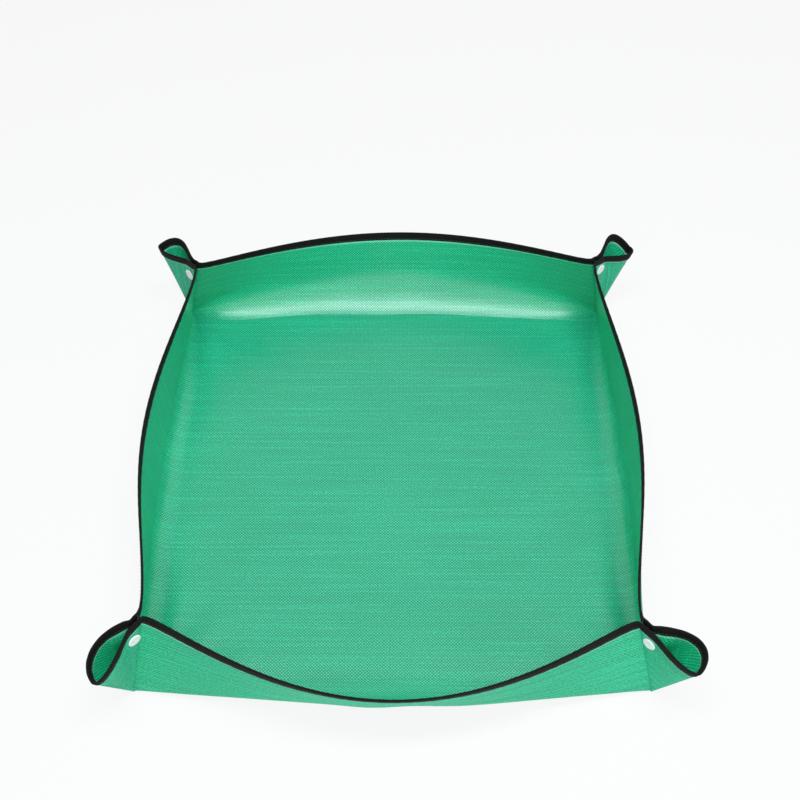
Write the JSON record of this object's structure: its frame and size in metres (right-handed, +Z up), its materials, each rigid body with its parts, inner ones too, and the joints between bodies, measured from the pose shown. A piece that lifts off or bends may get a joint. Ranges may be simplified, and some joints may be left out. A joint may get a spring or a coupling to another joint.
{
  "type": "repotting mat",
  "caption": "Square waterproof potting mat folded into a shallow tray, its bound edges pinched into snapped ears at the corners, opening out when unsnapped.",
  "frame": {"origin": "middle of the tray's underside, on the table", "axes": "+X to the right and +Y to the back as seen from the front, +Z up"},
  "size_m": [0.55, 0.5882, 0.1013],
  "materials": {
    "woven_sheet": "laminated woven polyethylene, satin",
    "edge_binding": "black folded tape, matt",
    "snap_plastic": "white moulded snap"
  },
  "bodies": {
    "floor": {"floor_sheet": "woven_sheet"},
    "front_wall": {"front_wall_sheet": "woven_sheet", "front_wall_binding": "edge_binding"},
    "front_left_ear_front": {"front_left_ear_front_sheet": "woven_sheet", "front_left_ear_front_binding": "edge_binding", "front_left_snap_front_cap": "snap_plastic", "front_left_snap_socket": "snap_plastic"},
    "front_right_ear_front": {"front_right_ear_front_sheet": "woven_sheet", "front_right_ear_front_binding": "edge_binding", "front_right_snap_front_cap": "snap_plastic", "front_right_snap_socket": "snap_plastic"},
    "back_wall": {"back_wall_sheet": "woven_sheet", "back_wall_binding": "edge_binding"},
    "back_right_ear_back": {"back_right_ear_back_sheet": "woven_sheet", "back_right_ear_back_binding": "edge_binding", "back_right_snap_back_cap": "snap_plastic", "back_right_snap_socket": "snap_plastic"},
    "back_left_ear_back": {"back_left_ear_back_sheet": "woven_sheet", "back_left_ear_back_binding": "edge_binding", "back_left_snap_back_cap": "snap_plastic", "back_left_snap_socket": "snap_plastic"},
    "left_wall": {"left_wall_sheet": "woven_sheet", "left_wall_binding": "edge_binding"},
    "back_left_ear_left": {"back_left_ear_left_sheet": "woven_sheet", "back_left_ear_left_binding": "edge_binding", "back_left_snap_left_cap": "snap_plastic", "back_left_snap_stud": "snap_plastic"},
    "front_left_ear_left": {"front_left_ear_left_sheet": "woven_sheet", "front_left_ear_left_binding": "edge_binding", "front_left_snap_left_cap": "snap_plastic", "front_left_snap_stud": "snap_plastic"},
    "right_wall": {"right_wall_sheet": "woven_sheet", "right_wall_binding": "edge_binding"},
    "front_right_ear_right": {"front_right_ear_right_sheet": "woven_sheet", "front_right_ear_right_binding": "edge_binding", "front_right_snap_right_cap": "snap_plastic", "front_right_snap_stud": "snap_plastic"},
    "back_right_ear_right": {"back_right_ear_right_sheet": "woven_sheet", "back_right_ear_right_binding": "edge_binding", "back_right_snap_right_cap": "snap_plastic", "back_right_snap_stud": "snap_plastic"}
  },
  "joints": [
    {"name": "front_wall_fold", "type": "hinge", "parent": "floor", "child": "front_wall", "pos_m": [0, -0.245, 0.0005], "axis": [1, 0, 0], "range_deg": [0, 35]},
    {"name": "back_wall_fold", "type": "hinge", "parent": "floor", "child": "back_wall", "pos_m": [0, 0.245, 0.0005], "axis": [-1, 0, 0], "range_deg": [0, 35]},
    {"name": "left_wall_fold", "type": "hinge", "parent": "floor", "child": "left_wall", "pos_m": [-0.245, 0, 0.0005], "axis": [0, -1, 0], "range_deg": [0, 35]},
    {"name": "right_wall_fold", "type": "hinge", "parent": "floor", "child": "right_wall", "pos_m": [0.245, 0, 0.0005], "axis": [0, 1, 0], "range_deg": [0, 35]},
    {"name": "front_left_ear_front_crease", "type": "hinge", "parent": "front_wall", "child": "front_left_ear_front", "pos_m": [-0.2442, -0.245, 0.0005], "axis": [-0.2158, -0.1761, -0.9604], "range_deg": [0, 39]},
    {"name": "front_right_ear_front_crease", "type": "hinge", "parent": "front_wall", "child": "front_right_ear_front", "pos_m": [0.2442, -0.245, 0.0005], "axis": [-0.2158, 0.1761, 0.9604], "range_deg": [0, 39]},
    {"name": "back_right_ear_back_crease", "type": "hinge", "parent": "back_wall", "child": "back_right_ear_back", "pos_m": [0.2442, 0.245, 0.0005], "axis": [0.2158, 0.1761, -0.9604], "range_deg": [0, 39]},
    {"name": "back_left_ear_back_crease", "type": "hinge", "parent": "back_wall", "child": "back_left_ear_back", "pos_m": [-0.2442, 0.245, 0.0005], "axis": [0.2158, -0.1761, 0.9604], "range_deg": [0, 39]},
    {"name": "back_left_ear_left_crease", "type": "hinge", "parent": "left_wall", "child": "back_left_ear_left", "pos_m": [-0.245, 0.2442, 0.0005], "axis": [-0.1761, 0.2158, -0.9604], "range_deg": [0, 39]},
    {"name": "front_left_ear_left_crease", "type": "hinge", "parent": "left_wall", "child": "front_left_ear_left", "pos_m": [-0.245, -0.2442, 0.0005], "axis": [0.1761, 0.2158, 0.9604], "range_deg": [0, 39]},
    {"name": "front_right_ear_right_crease", "type": "hinge", "parent": "right_wall", "child": "front_right_ear_right", "pos_m": [0.245, -0.2442, 0.0005], "axis": [0.1761, -0.2158, -0.9604], "range_deg": [0, 39]},
    {"name": "back_right_ear_right_crease", "type": "hinge", "parent": "right_wall", "child": "back_right_ear_right", "pos_m": [0.245, 0.2442, 0.0005], "axis": [-0.1761, -0.2158, 0.9604], "range_deg": [0, 39]}
  ],
  "couplings": [
    {"joint": "back_wall_fold", "follows": "front_wall_fold", "ratio": 1},
    {"joint": "left_wall_fold", "follows": "front_wall_fold", "ratio": 1},
    {"joint": "right_wall_fold", "follows": "front_wall_fold", "ratio": 1},
    {"joint": "front_left_ear_front_crease", "follows": "front_wall_fold", "ratio": 1.1},
    {"joint": "front_right_ear_front_crease", "follows": "front_wall_fold", "ratio": 1.1},
    {"joint": "back_right_ear_back_crease", "follows": "front_wall_fold", "ratio": 1.1},
    {"joint": "back_left_ear_back_crease", "follows": "front_wall_fold", "ratio": 1.1},
    {"joint": "back_left_ear_left_crease", "follows": "front_wall_fold", "ratio": 1.1},
    {"joint": "front_left_ear_left_crease", "follows": "front_wall_fold", "ratio": 1.1},
    {"joint": "front_right_ear_right_crease", "follows": "front_wall_fold", "ratio": 1.1},
    {"joint": "back_right_ear_right_crease", "follows": "front_wall_fold", "ratio": 1.1}
  ]
}
